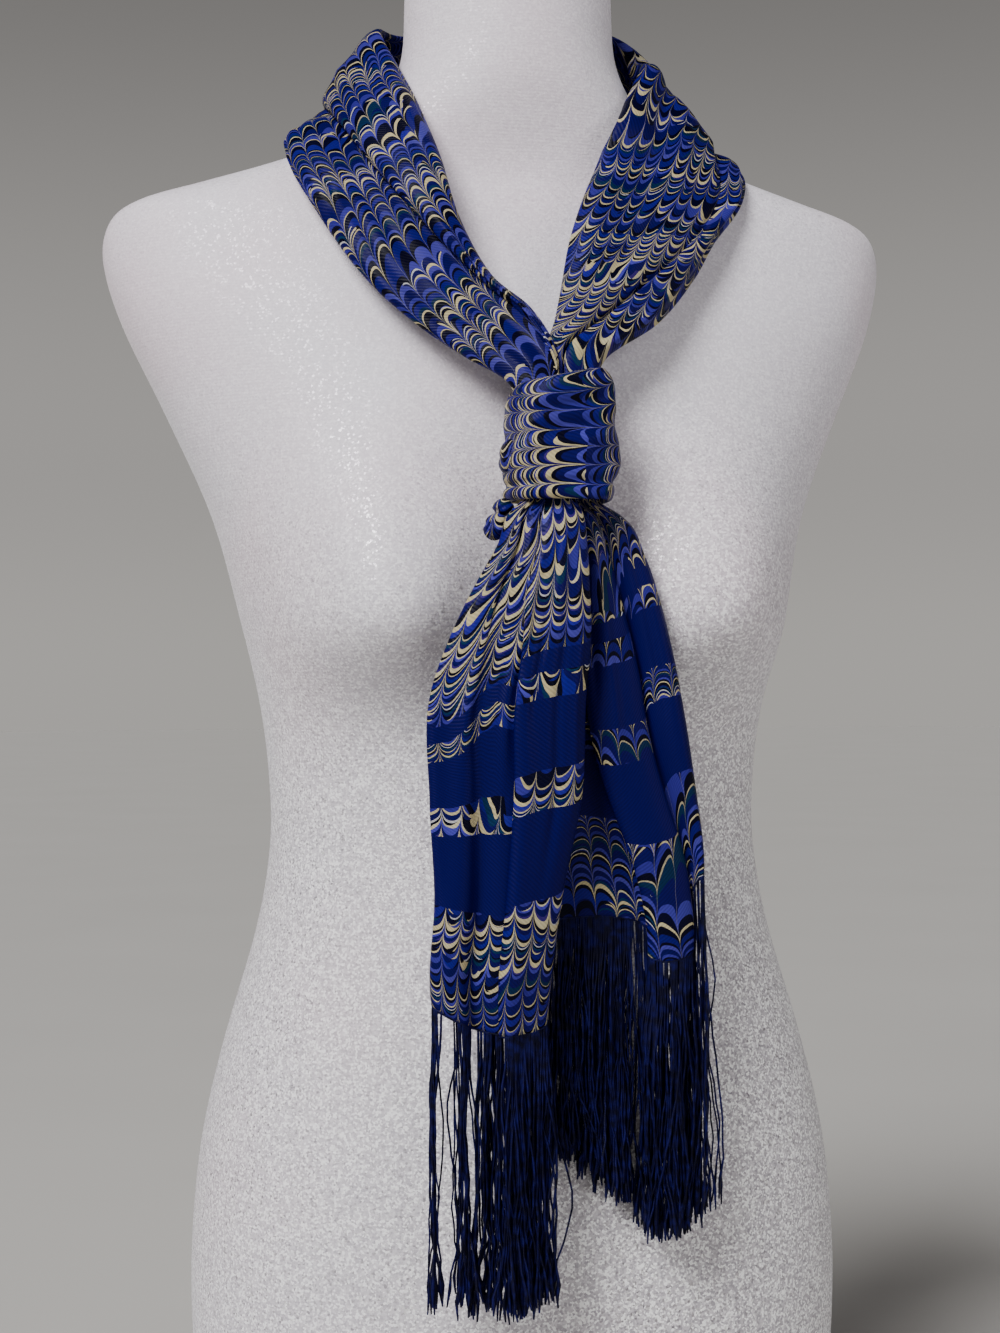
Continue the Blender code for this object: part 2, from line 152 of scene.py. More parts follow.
silkPrint = {
    "pitch": 0.0084,  # one comb tooth
    "arcDepth": 0.80,  # in pitches, as is the cusp
    "cuspDepth": 0.30,
    "cuspPower": 8.0,
    "uneven": 0.0022,  # how far one tooth starts before another
    "wanderScale": 38.0,
    "wander": (0.0042, 0.009, 0.0),
    "driftScale": (14.0, 17.0, 0.0),
    "zone": (0.085, 0.018),  # across and along
    "zoneFrom": 0.56,  # where a zone takes the dark dyes
    "neckFrom": 0.54,  # along the cloth, past the knot
    "neckDarker": 0.24,
    "hemTo": 0.026,
    "hemDarker": 0.20,
    "clusterScale": (2.0, 6.0, 0.0),
    "clusterFrom": 0.67,
    "edge": "#b9b7b4",  # pale lines where two teeth meet
    "edgeFrom": 0.98,
    "edgeShare": 0.22,
    "twill": 0.0014,  # really 0.6 mm: drawn wider so that it shows
    # dims every dye, and paints lighter and darker stripes along the twill rib: painted shade
    "twillDimmingAndRibShade": (0.68, 0.90),
    "weaveScale": 900.0,
    "gloss": (0.36, 0.48),
    "specular": 0.07,
    "navy": "#08024c",
    "bands": [(0.060, 0.101), (0.119, 0.151), (0.163, 0.173)],  # plain navy, from the hem
    "repeats": (0.056, 0.071, 0.0125),  # metres of cloth to one run of each row of dyes below
    "drifts": (1.25, 1.0, 3.5),  # in runs
    "dyes": [
        (0.000, "#bdb087"), (0.050, "#020219"), (0.080, "#0b0350"), (0.125, "#413da0"), (0.152, "#03021a"),
        (0.172, "#c4bb9a"), (0.188, "#0e0452"), (0.235, "#072a4c"), (0.262, "#bdb087"), (0.300, "#020219"),
        (0.328, "#180f74"), (0.372, "#0b034c"), (0.412, "#bdb087"), (0.424, "#03021a"), (0.460, "#bfb48f"),
        (0.504, "#33226c"), (0.528, "#0b0350"), (0.574, "#413da0"), (0.600, "#c4bb9a"), (0.614, "#03031a"),
        (0.652, "#bdb087"), (0.698, "#0e0452"), (0.742, "#072a4c"), (0.770, "#bdb087"), (0.784, "#030322"),
        (0.824, "#241c84"), (0.870, "#bdb087"), (0.906, "#02021a"), (0.934, "#0b0350"), (0.978, "#33226c"),
    ],
    "darkDyes": [
        (0.000, "#08024a"), (0.060, "#302c84"), (0.095, "#03021a"), (0.118, "#130a66"), (0.165, "#062342"),
        (0.192, "#bdb087"), (0.206, "#020219"), (0.250, "#0b034e"), (0.316, "#302c84"), (0.350, "#b0a47c"),
        (0.358, "#030322"), (0.402, "#1a1070"), (0.455, "#03021a"), (0.484, "#b0a47c"), (0.494, "#0b034e"),
        (0.565, "#2a257c"), (0.602, "#020219"), (0.632, "#a3987a"), (0.639, "#062342"), (0.678, "#0b034c"),
        (0.740, "#37338c"), (0.772, "#030322"), (0.806, "#bdb087"), (0.822, "#02021a"), (0.862, "#110860"),
        (0.922, "#03021a"), (0.954, "#3d398e"),
    ],
    "fineDyes": [
        (0.00, "#03021a"), (0.17, "#bdb087"), (0.25, "#0b034c"), (0.38, "#072a4c"), (0.47, "#03021a"),
        (0.57, "#b7b6ba"), (0.62, "#0b034c"), (0.76, "#bdb087"), (0.84, "#2b267e"),
    ],
}


# Printed silk twill: flat dyes combed into rows of small arcs, with a fine diagonal rib (bumped, and painted
# into the colour as painted shade) and soft lustre
def makeSilk():
    s = silkPrint
    material, tree, shader = newMaterial("printedSilkTwill")
    flat = addNode(tree, "ShaderNodeUVMap", {"uv_map": "silkMap"}, {})["UV"]
    wander = {"Vector": flat, "Scale": s["wanderScale"], "Detail": 1.0}
    wander = addNode(tree, "ShaderNodeTexNoise", {"noise_dimensions": "2D"}, wander)["Color"]
    moved = {0: wander, 1: (0.5, 0.5, 0.5)}
    moved = addNode(tree, "ShaderNodeVectorMath", {"operation": "SUBTRACT"}, moved)["Vector"]
    moved = {0: flat, 1: scaled(tree, moved, s["wander"])}
    moved = addNode(tree, "ShaderNodeVectorMath", {"operation": "ADD"}, moved)["Vector"]
    place = addNode(tree, "ShaderNodeSeparateXYZ", {}, {"Vector": moved})
    teeth = calc(tree, "DIVIDE", place["X"], s["pitch"])
    tooth = calc(tree, "FLOOR", teeth)
    side = calc(tree, "ABSOLUTE", calc(tree, "MULTIPLY_ADD", calc(tree, "FRACT", teeth), 2.0, -1.0))
    # the arc: a half round in each tooth, with a cusp drawn out where two teeth meet
    drop = calc(tree, "SUBTRACT", 1.0, calc(tree, "MULTIPLY", side, side))
    drop = calc(tree, "SUBTRACT", 1.0, calc(tree, "SQRT", drop))
    drop = calc(tree, "MULTIPLY", drop, s["arcDepth"] * s["pitch"])
    cusp = calc(tree, "POWER", side, s["cuspPower"])
    drop = calc(tree, "MULTIPLY_ADD", cusp, s["cuspDepth"] * s["pitch"], drop)
    uneven = addNode(tree, "ShaderNodeTexWhiteNoise", {"noise_dimensions": "1D"}, {"W": tooth})["Value"]
    drop = calc(tree, "MULTIPLY_ADD", uneven, s["uneven"], drop)
    along = calc(tree, "SUBTRACT", place["Y"], drop)
    # the dyes lie in long rows across the comb, which drift slowly up and down
    driftAt = addNode(tree, "ShaderNodeCombineXYZ", {}, {"X": place["X"], "Y": along})["Vector"]
    driftAt = scaled(tree, driftAt, s["driftScale"])
    drift = cloud(tree, driftAt, 1.0, 1.0, True, 0.35)
    rows = []
    for name, repeat, amount in zip(("dyes", "darkDyes", "fineDyes"), s["repeats"], s["drifts"]):
        run = calc(tree, "MULTIPLY_ADD", drift, amount, calc(tree, "DIVIDE", along, repeat))
        ramp = addNode(tree, "ShaderNodeValToRGB", {}, {"Fac": calc(tree, "FRACT", run)})["Color"]
        setRamp(ramp.node.color_ramp, s[name], "CONSTANT")
        rows.append(ramp)
    # zones of the darker colours: more of them past the knot, on the neck wrap and the back tail, and near the
    # front hem
    across, length = s["zone"]
    zone = {"X": calc(tree, "DIVIDE", place["X"], across), "Y": calc(tree, "DIVIDE", along, length)}
    zone = addNode(tree, "ShaderNodeCombineXYZ", {}, zone)["Vector"]
    zone = cloud(tree, zone, 1.0, 0.0, True)
    pastKnot = calc(tree, "GREATER_THAN", place["Y"], s["neckFrom"])
    zone = calc(tree, "MULTIPLY_ADD", pastKnot, s["neckDarker"], zone)
    atHem = calc(tree, "LESS_THAN", along, s["hemTo"])
    zone = calc(tree, "MULTIPLY_ADD", atHem, s["hemDarker"], zone)
    dyed = mixed(tree, calc(tree, "GREATER_THAN", zone, s["zoneFrom"]), rows[0], rows[1])
    cluster = cloud(tree, scaled(tree, driftAt, s["clusterScale"]), 1.0, 0.0, True)
    marbled = mixed(tree, calc(tree, "GREATER_THAN", cluster, s["clusterFrom"]), dyed, rows[2])
    edge = calc(tree, "MULTIPLY", calc(tree, "GREATER_THAN", side, s["edgeFrom"]), s["edgeShare"])
    colour = mixed(tree, edge, marbled, hexColour(s["edge"]))
    # plain bands above the hem
    fromHem = addNode(tree, "ShaderNodeAttribute", {"attribute_name": "fromHem"}, {})["Fac"]
    for low, high in s["bands"]:
        band = calc(tree, "COMPARE", fromHem, (low + high) / 2, (high - low) / 2)
        colour = mixed(tree, band, colour, hexColour(s["navy"]))
    # twill rib: every colour is dimmed a little, and the ribs are painted lighter and darker as painted shade,
    # besides their bump
    ribs = addNode(tree, "ShaderNodeSeparateXYZ", {}, {"Vector": flat})
    rib = calc(tree, "ADD", ribs["X"], ribs["Y"])
    rib = calc(tree, "SINE", calc(tree, "MULTIPLY", rib, 2 * math.pi / (s["twill"] * 1.414)))
    colour = scaled(tree, colour, spread(tree, rib, (-1.0, 1.0), s["twillDimmingAndRibShade"]))
    weave = cloud(tree, flat, s["weaveScale"], 2.0, True)
    relief = calc(tree, "MULTIPLY_ADD", weave, 0.6, rib)
    tree.links.new(colour, shader.inputs["Base Color"])
    tree.links.new(spread(tree, weave, (0.0, 1.0), s["gloss"]), shader.inputs["Roughness"])
    tree.links.new(bumped(tree, relief, 0.35, 0.00012), shader.inputs["Normal"])
    shader.inputs["Specular IOR Level"].default_value = s["specular"]
    return material


silkThread = {
    "tones": [(0.40, "#02021a"), (0.72, "#0b0b48")],
    "toneScale": 260.0,
    "twist": 0.0012,
    "slant": 1.4,
    "roughness": 0.5,
    "specular": 0.12,
}


# Twisted silk thread: nearly black, with a slight blue shine on each turn of the twist
def makeThread():
    s = silkThread
    material, tree, shader = newMaterial("navySilkThread")
    place = addNode(tree, "ShaderNodeTexCoord", {}, {})["Object"]
    split = addNode(tree, "ShaderNodeSeparateXYZ", {}, {"Vector": place})
    turn = calc(tree, "MULTIPLY_ADD", split["X"], s["slant"], split["Z"])
    turn = calc(tree, "SINE", calc(tree, "MULTIPLY", turn, 2 * math.pi / s["twist"]))
    tone = cloud(tree, place, s["toneScale"], 2.0)
    colour = addNode(tree, "ShaderNodeValToRGB", {}, {"Fac": tone})["Color"]
    setRamp(colour.node.color_ramp, s["tones"], "LINEAR")
    tree.links.new(colour, shader.inputs["Base Color"])
    tree.links.new(bumped(tree, turn, 0.4, 0.0001), shader.inputs["Normal"])
    shader.inputs["Roughness"].default_value = s["roughness"]
    shader.inputs["Specular IOR Level"].default_value = s["specular"]
    return material


jersey = {
    "pale": "#e2dce6",
    "flush": "#e3c3cf",
    "flushScale": 7.0,
    "flushFrom": (0.45, 0.75),
    "flushMost": 0.55,
    "speck": 0.0010,  # one speck of glitter
    "grey": "#97929a",
    "between": "#d2cdd2",
    # white specks: painted glints of the glitter
    "paintedGlint": "#ffffff",
    "paintedGlintFrom": (0.56, 0.80),
    "speckledDown": ((0.62, 0.32), (0.20, 1.0)),  # heights, and how speckled it is there
    # greyer speckle towards the right: painted shade on the side away from the light
    "speckleAndPaintedShadeRight": ((-0.12, 0.08), (0.66, 1.0)),
    "sparkFrom": 0.90,
    "gloss": (0.62, 0.42),  # yarn, glitter
    "knit": 0.0016,  # really 0.5 mm: drawn wider so that it shows
    "fluffScale": 420.0,
    "sheen": 0.2,
    "sheenRoughness": 0.4,
}


# Knitted jersey with glitter in the yarn: a matt lilac white with grey speckle and painted glints as white
# specks, stronger lower down, and greyer to the right as painted shade
def makeJersey():
    s = jersey
    material, tree, shader = newMaterial("glitterJersey")
    place = addNode(tree, "ShaderNodeTexCoord", {}, {})["Object"]
    split = addNode(tree, "ShaderNodeSeparateXYZ", {}, {"Vector": place})
    specks = {"Vector": place, "Scale": 1 / s["speck"]}
    specks = addNode(tree, "ShaderNodeTexVoronoi", {}, specks)["Color"]
    speck = addNode(tree, "ShaderNodeSeparateColor", {}, {"Color": specks})
    fluff = cloud(tree, place, s["fluffScale"], 3.0, rough=0.6)
    down = spread(tree, split["Z"], *s["speckledDown"], "SMOOTHSTEP")
    # more grey speckle to the right is painted shade; the same mask spreads the glints and metallic sparks
    # there
    right = spread(tree, split["X"], *s["speckleAndPaintedShadeRight"], "SMOOTHSTEP")
    amount = calc(tree, "MULTIPLY", down, right)
    speckled = mixed(tree, speck["Green"], hexColour(s["grey"]), hexColour(s["between"]))
    # white specks of glitter: painted glints
    paintedGlint = spread(tree, speck["Red"], s["paintedGlintFrom"], (0.0, 1.0))
    speckled = mixed(tree, paintedGlint, speckled, hexColour(s["paintedGlint"]))
    flush = spread(tree, cloud(tree, place, s["flushScale"], 2.0), s["flushFrom"], (0.0, s["flushMost"]))
    ground = mixed(tree, flush, hexColour(s["pale"]), hexColour(s["flush"]))
    rows = calc(tree, "SINE", calc(tree, "MULTIPLY", split["Z"], 2 * math.pi / s["knit"]))
    relief = calc(tree, "MULTIPLY_ADD", rows, 0.12, fluff)
    relief = calc(tree, "MULTIPLY_ADD", speck["Green"], 0.8, relief)
    spark = calc(tree, "GREATER_THAN", speck["Blue"], s["sparkFrom"])
    tree.links.new(mixed(tree, amount, ground, speckled), shader.inputs["Base Color"])
    tree.links.new(spread(tree, spark, (0.0, 1.0), s["gloss"]), shader.inputs["Roughness"])
    tree.links.new(calc(tree, "MULTIPLY", spark, amount), shader.inputs["Metallic"])
    tree.links.new(bumped(tree, relief, 0.5, 0.00025), shader.inputs["Normal"])
    shader.inputs["Sheen Weight"].default_value = s["sheen"]
    shader.inputs["Sheen Roughness"].default_value = s["sheenRoughness"]
    return material


silk = makeSilk()
thread = makeThread()
jerseyCloth = makeJersey()
print("materials made")

# Sections of the form from its base up
formRows = table(
    "height halfWidth front back setBack",
    [
        (0.000, 0.1490, 0.1020, 0.0880, 0.000), (0.035, 0.1570, 0.1080, 0.0950, 0.000),
        (0.075, 0.1625, 0.1130, 0.1010, 0.000), (0.120, 0.1645, 0.1160, 0.1040, 0.000),
        (0.160, 0.1630, 0.1150, 0.1030, 0.000), (0.200, 0.1580, 0.1110, 0.0980, 0.000),
        (0.244, 0.1475, 0.1050, 0.0880, 0.000), (0.300, 0.1310, 0.0970, 0.0750, 0.000),
        (0.342, 0.1240, 0.0920, 0.0690, 0.000), (0.378, 0.1245, 0.0910, 0.0710, 0.000),
        (0.414, 0.1290, 0.0920, 0.0770, 0.000), (0.456, 0.1385, 0.0930, 0.0870, 0.001),
        (0.507, 0.1520, 0.0930, 0.0970, 0.005), (0.558, 0.1740, 0.0860, 0.1030, 0.012),
        (0.604, 0.1955, 0.0740, 0.1010, 0.020), (0.636, 0.2050, 0.0600, 0.0930, 0.024),
        (0.655, 0.2025, 0.0510, 0.0800, 0.021), (0.665, 0.1900, 0.0460, 0.0700, 0.016),
        (0.673, 0.1620, 0.0430, 0.0600, 0.009), (0.682, 0.1310, 0.0420, 0.0530, 0.005),
        (0.692, 0.1030, 0.0430, 0.0500, 0.003), (0.705, 0.0800, 0.0460, 0.0510, 0.001),
        (0.722, 0.0640, 0.0500, 0.0530, 0.000), (0.743, 0.0550, 0.0515, 0.0530, 0.000),
        (0.775, 0.0530, 0.0520, 0.0525, 0.000), (0.793, 0.0520, 0.0510, 0.0515, 0.000),
        (0.800, 0.0460, 0.0445, 0.0450, 0.000),
    ],
)

formSettings = {
    "around": 120,
    "up": 150,
    "squareness": (2.3, 2.0),  # torso, neck
    "neckFrom": 0.700,
    "neckBlend": 0.040,
    "bust": {
        "height": 0.456, "apart": 0.088, "reach": 0.043, "spread": 0.050, "above": 0.070, "below": 0.036,
    },
}


def oval(angle, halfWidth, front, back, squareness):
    c, s = np.cos(angle), np.sin(angle)
    reach = np.where(s > 0, back, front)
    x = halfWidth * np.sign(c) * np.abs(c) ** (2 / squareness)
    y = reach * np.sign(s) * np.abs(s) ** (2 / squareness)
    return x, y


def formPoints(around, up):
    share = np.linspace(0, 1, up + 1)
    place = share * (len(formRows["height"]) - 1)
    numbered = dict(formRows, row=np.arange(len(formRows["height"]), dtype=float))
    names = "height halfWidth front back setBack"
    height, half, front, back, setBack = columnsOf(numbered, names, "row", place)
    angle = np.linspace(0, 2 * np.pi, around + 1)[:, None]
    neck = np.clip((height - formSettings["neckFrom"]) / formSettings["neckBlend"] + 0.5, 0, 1)
    torso, upper = formSettings["squareness"]
    x, y = oval(angle, half, front + setBack, back - setBack, torso + (upper - torso) * neck)
    bust = formSettings["bust"]
    lift = height - bust["height"]
    rise = np.where(lift > 0, bust["above"], bust["below"])
    full = np.exp(-(((np.abs(x) - bust["apart"]) / bust["spread"]) ** 2)) * np.exp(-((lift / rise) ** 2))
    y = np.where(y < 0, y - bust["reach"] * full * np.minimum(1.0, -np.sin(angle) * 2), y) + setBack
    return np.stack([x, y, np.broadcast_to(height, x.shape)], axis=2)


def gridMesh(points, joined, maps=None):  # a grid of quads laid on rows of points
    columns, rows = points.shape[0] - 1, points.shape[1] - 1
    bm = bmesh.new()
    bmesh.ops.create_grid(bm, x_segments=columns, y_segments=rows, size=1.0)
    place = {}
    flat = bm.loops.layers.uv.new("silkMap") if maps else None
    fromHem = bm.verts.layers.float.new("fromHem") if maps else None
    for vert in bm.verts:
        i, j = round((vert.co.x + 1) / 2 * columns), round((vert.co.y + 1) / 2 * rows)
        place[vert] = (i, j)
        vert.co = points[i, j]
        if maps:
            vert[fromHem] = maps["fromHem"][i, j]
    if maps:
        for face in bm.faces:
            for loop in face.loops:
                i, j = place[loop.vert]
                loop[flat].uv = (maps["across"][i, j], maps["along"][i, j])
    if joined:
        bmesh.ops.remove_doubles(bm, verts=bm.verts, dist=1e-6)
    bmesh.ops.recalc_face_normals(bm, faces=bm.faces)
    return bm


def addPiece(name, bm, material, node, wall=None, offset=0.0):
    mesh = bpy.data.meshes.new(name)
    bm.to_mesh(mesh)
    bm.free()
    mesh.shade_smooth()
    mesh.materials.append(material)
    piece = bpy.data.objects.new(name, mesh)
    bpy.context.scene.collection.objects.link(piece)
    if wall:
        thick = piece.modifiers.new("Cloth wall", "SOLIDIFY")
        thick.thickness, thick.offset = wall, offset
    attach(piece, "root")
    if node:
        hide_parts(*node.split())
    return piece


bm = gridMesh(formPoints(formSettings["around"], formSettings["up"]), True)
bmesh.ops.holes_fill(bm, edges=bm.edges)
bmesh.ops.recalc_face_normals(bm, faces=bm.faces)
formTree = BVHTree.FromBMesh(bm)
addPiece("dressForm", bm, jerseyCloth, "dress_form")
print("dress form made")

# The cloth from the knot up one side, behind the neck and down the other side
neckRows = table(
    "station innerX innerY innerZ outerX outerY outerZ innerRise outerRise crease lap",
    [
        (0, 0.0015, -0.1200, 0.5530, -0.0198, -0.1185, 0.5500, 0.50, 0.50, 0.12, 0.15),
        (1, -0.0012, -0.1165, 0.5760, -0.0240, -0.1110, 0.5630, 0.65, 0.65, 0.12, 0.30),
        (2, -0.0110, -0.1050, 0.5970, -0.0411, -0.1000, 0.5748, 0.75, 0.75, 0.12, 0.50),
        (3, -0.0278, -0.0940, 0.6141, -0.0592, -0.0900, 0.5885, 0.90, 0.90, 0.13, 0.90),
        (4, -0.0400, -0.0800, 0.6423, -0.0807, -0.0790, 0.6090, 1.00, 1.00, 0.28, 1.00),
        (5, -0.0465, -0.0660, 0.6748, -0.0977, -0.0600, 0.6367, 1.05, 1.05, 0.43, 1.00),
        (6, -0.0524, -0.0400, 0.7067, -0.1091, -0.0200, 0.6735, 1.10, 1.00, 0.53, 1.00),
        (7, -0.0614, 0.0120, 0.7553, -0.1000, 0.0220, 0.7000, 0.90, 0.70, 0.68, 0.80),
        (8, -0.0465, 0.0480, 0.7660, -0.0790, 0.0680, 0.6940, 0.80, 0.80, 0.70, 0.70),
        (9, 0.0000, 0.0640, 0.7700, 0.0000, 0.0860, 0.6900, 0.90, 0.90, 0.62, 0.60),
        (10, 0.0460, 0.0500, 0.7725, 0.0800, 0.0700, 0.6940, 0.90, 0.80, 0.66, 0.70),
        (11, 0.0610, 0.0250, 0.7620, 0.1050, 0.0400, 0.6930, 1.20, 0.55, 0.74, 0.90),
        (12, 0.0600, -0.0020, 0.7310, 0.1160, 0.0040, 0.6850, 1.60, 0.52, 0.72, 1.00),
        (13, 0.0347, -0.0520, 0.6825, 0.1155, -0.0200, 0.6770, 1.10, 0.80, 0.76, 0.80),
        (14, 0.0216, -0.0700, 0.6573, 0.1070, -0.0420, 0.6580, 1.00, 1.00, 0.84, 0.10),
        (15, 0.0117, -0.0820, 0.6328, 0.0895, -0.0610, 0.6380, 1.00, 1.00, 0.86, -0.30),
        (16, 0.0051, -0.0930, 0.6091, 0.0749, -0.0750, 0.6173, 0.95, 0.95, 0.68, -0.90),
        (17, 0.0001, -0.1020, 0.5924, 0.0525, -0.0920, 0.5935, 0.85, 0.85, 0.46, -1.00),
        (18, -0.0050, -0.1110, 0.5780, 0.0235, -0.1080, 0.5745, 0.65, 0.65, 0.30, -0.80),
        (19, -0.0030, -0.1160, 0.5560, 0.0155, -0.1185, 0.5560, 0.50, 0.50, 0.26, -0.40),
    ],
)

neckSettings = {
    "columns": 120,
    "rows": 330,
    "flatWidth": 0.150,
    "wall": 0.0007,
    "clear": 0.0016,
    "facing": (-0.8, -0.4, 0.0, 0.4, 0.8),  # stations on either side that say which way is out
    "probe": 0.060,
    "reach": 0.30,  # stations on either side that the cloth has to clear
    "topShares": (0.16, 0.22),  # of the section, from each end, where its upper side starts
    "printAcross": 0.45,
    "printStart": 1.20,
    # station, share across, to station, share across, width and height in metres
    "creases": [
        (0.0, 0.45, 4.4, 0.62, 0.0026, 0.0016), (0.3, 0.62, 3.6, 0.80, 0.0022, -0.0014),
        (0.2, 0.25, 3.2, 0.38, 0.0020, -0.0012), (2.0, 0.92, 6.2, 0.80, 0.0030, -0.0014),
        (3.0, 0.55, 5.6, 0.66, 0.0040, -0.0016), (4.6, 0.10, 7.4, 0.26, 0.0035, -0.0018),
        (5.4, 0.34, 7.6, 0.44, 0.0040, 0.0014), (5.8, 0.86, 7.6, 0.86, 0.0035, -0.0018),
        (7.6, 0.30, 11.2, 0.34, 0.0050, -0.0020), (8.0, 0.52, 10.4, 0.46, 0.0050, 0.0015),
        (7.8, 0.85, 10.8, 0.82, 0.0045, -0.0015), (11.4, 0.20, 14.6, 0.40, 0.0050, -0.0024),
        (11.8, 0.45, 15.4, 0.62, 0.0060, 0.0018), (13.2, 0.12, 16.8, 0.16, 0.0045, 0.0014),
        (14.4, 0.55, 16.2, 0.30, 0.0045, -0.0020), (15.6, 0.22, 18.6, 0.10, 0.0028, -0.0014),
        (16.4, 0.72, 18.8, 0.60, 0.0030, -0.0012), (16.0, 0.88, 18.6, 0.84, 0.0030, 0.0012),
        (12.6, 0.92, 14.8, 0.90, 0.0035, -0.0016),
    ],
}


# One section across the cloth in shares of its width and millimetres above the form. Both edges turn
# under, and at the crease the inner part laps over the outer one, or the other way round.
def neckSection(crease, lap):
    c, rest = crease, 1 - crease
    over = [
        (0.42, 2.0), (0.20, 1.6), (0.05, 2.0), (0.00, 4.2), (0.03, 7.6), (min(0.12, 0.6 * c), 10.6),
        (0.5 * c + 0.04, 12.4), (c - 0.06, 12.2), (c - 0.008, 10.4), (c + 0.004, 8.4), (c - 0.03, 7.2),
        (c - 0.08, 6.4), (c - 0.03, 5.0), (c + 0.07 * rest, 5.0), (c + 0.26 * rest, 7.2),
        (c + 0.52 * rest, 9.4), (c + 0.76 * rest, 9.0), (0.95, 6.8), (1.00, 4.0), (0.96, 1.8),
        (0.82, 1.6), (0.62, 2.0),
    ]
    under = [
        (0.42, 2.0), (0.20, 1.6), (0.05, 2.0), (0.00, 4.2), (0.03, 7.2), (min(0.12, 0.6 * c), 9.4),
        (0.5 * c + 0.02, 9.6), (c - 0.14 * c - 0.02, 7.0), (c - 0.04, 4.8), (c + 0.03, 4.2),
        (c + 0.08 * rest, 4.8), (c + 0.05 * rest, 6.8), (c, 9.0), (c + 0.05 * rest, 11.4),
        (c + 0.24 * rest, 12.8), (c + 0.50 * rest, 12.0), (c + 0.76 * rest, 9.8), (0.95, 6.8),
        (1.00, 4.0), (0.96, 1.8), (0.82, 1.6), (0.62, 2.0),
    ]
    f = (lap + 1) / 2
    return np.array(over) * f + np.array(under) * (1 - f)


def arcShare(points):  # share of the way across each row, measured along the cloth
    steps = np.linalg.norm(np.diff(points, axis=0), axis=2)
    length = np.concatenate([np.zeros((1, points.shape[1])), np.cumsum(steps, axis=0)])
    return length / length[-1], length[-1]


def neckPoints():
    s = neckSettings
    last = neckRows["station"][-1]
    station = np.linspace(0, last, s["rows"] + 1)
    names = "innerX innerY innerZ outerX outerY outerZ innerRise outerRise crease lap"
    read = columnsOf(neckRows, names, "station", station)
    inner, outer = read[0:3].T, read[3:6].T
    sections = np.stack([neckSection(c, l) for c, l in zip(read[8], np.clip(read[9], -1, 1))])
    shares = np.linspace(0, sections.shape[1] - 1, s["columns"] + 1)
    across = through(np.arange(sections.shape[1]), sections.transpose(1, 0, 2), shares)
    along, height = across[:, :, 0], across[:, :, 1] / 1000
    size = np.linalg.norm(outer - inner, axis=1)
    points = np.zeros((s["columns"] + 1, s["rows"] + 1, 3))
    part = shares / shares[-1]
    upper = softStep(*s["topShares"], part) * softStep(*s["topShares"], 1 - part)
    height = height + creaseLift(s["creases"], along, station, size) * upper[:, None]
    ends = np.stack([inner, outer])
    for j, here in enumerate(station):
        facing = Vector()
        for step in s["facing"]:
            near = np.clip(here + step, 0, last)
            middle = columnsOf(neckRows, names, "station", near)[:6, 0]
            facing += formTree.find_nearest(Vector((middle[:3] + middle[3:6]) / 2))[1]
        chord = Vector(outer[j] - inner[j]).normalized()
        outward = (facing - chord * facing.dot(chord)).normalized()
        reach = s["rows"] / last * s["reach"]
        near = [int(np.clip(round(j + step * reach), 0, s["rows"])) for step in (-1, 0, 1)]
        for i in range(s["columns"] + 1):
            share = along[i, j]
            lift = 0.0
            for k in near:
                edge = Vector(ends[0, k] + (ends[1, k] - ends[0, k]) * share)
                away = formTree.ray_cast(edge + outward * s["probe"], -outward, s["probe"])[3]
                lift = max(lift, 0.0 if away is None else s["probe"] - away)
            rise = read[6, j] + (read[7, j] - read[6, j]) * share
            base = inner[j] + (outer[j] - inner[j]) * share
            points[i, j] = base + np.array(outward) * (lift + rise * height[i, j])
    return keptClear(points, formTree, s["wall"] / 2 + s["clear"])


farFromHem = 0.5  # past every plain band
points = neckPoints()
# the print keeps its size where the cloth is gathered, and runs on from the front tail to the back one
share, size = arcShare(points)
run, length = arcShare(points[neckSettings["columns"] // 3][None].transpose(1, 0, 2))
maps = {
    "across": (share - neckSettings["printAcross"]) * size,
    "along": np.broadcast_to(neckSettings["printStart"] - run[:, 0] * length[0], share.shape),
    "fromHem": np.full(share.shape, farFromHem),
}
bm = gridMesh(points, False, maps)
nodes = "neck_left neck_back neck_right"
neckWrap = addPiece("neckWrap", bm, silk, nodes, neckSettings["wall"])

# The knot: one wrap, with rolls of it showing underneath
knotSettings = {
    "centre": (-0.0008, -0.1190),
    "halfWidth": 0.0258,
    "halfDepth": 0.0203,
    "squareness": 3.0,
    "bottom": 0.5068,
    "top": 0.5640,
    "topSlope": 0.20,
    "around": 180,
    "up": 90,
    "wall": 0.0009,
    "printRadius": 0.0245,
    "printWidth": 0.078,
    "printAt": (0.31, 0.42),  # across and along
    "wobbles": [(0.0006, 3, 0.8), (0.0005, 5, -1.7)],  # height, times round, turns on the way up
    # share of the height, millimetres out: the rims roll in, and a lip stands below a fold
    "profile": [
        (0.16, -4.6), (0.07, -4.2), (0.015, -2.6), (0.00, -1.2), (0.02, 0.1), (0.06, 0.6), (0.10, 0.1),
        (0.125, -1.0), (0.15, -0.9), (0.19, 0.2), (0.27, 0.7), (0.36, 0.3), (0.46, 0.6), (0.55, 0.1),
        (0.66, 0.5), (0.75, 0.0), (0.84, 0.5), (0.92, 0.2), (0.97, -0.7), (1.00, -2.0), (0.985, -3.6),
        (0.93, -4.6), (0.85, -4.8),
    ],
    "widths": [(0.0, 0.93), (0.1, 0.96), (0.3, 1.01), (0.5, 0.96), (0.8, 0.94), (1.0, 0.84)],
    "creases": [
        (0.00, 0.30, 0.60, 0.42, 0.06, -0.0009), (0.45, 0.50, 1.00, 0.62, 0.05, -0.0008),
        (0.50, 0.22, 0.98, 0.30, 0.045, -0.0008), (0.58, 0.70, 0.95, 0.78, 0.05, -0.0010),
        (0.52, 0.38, 0.90, 0.50, 0.04, 0.0007), (0.05, 0.60, 0.45, 0.75, 0.06, -0.0008),
    ],
}


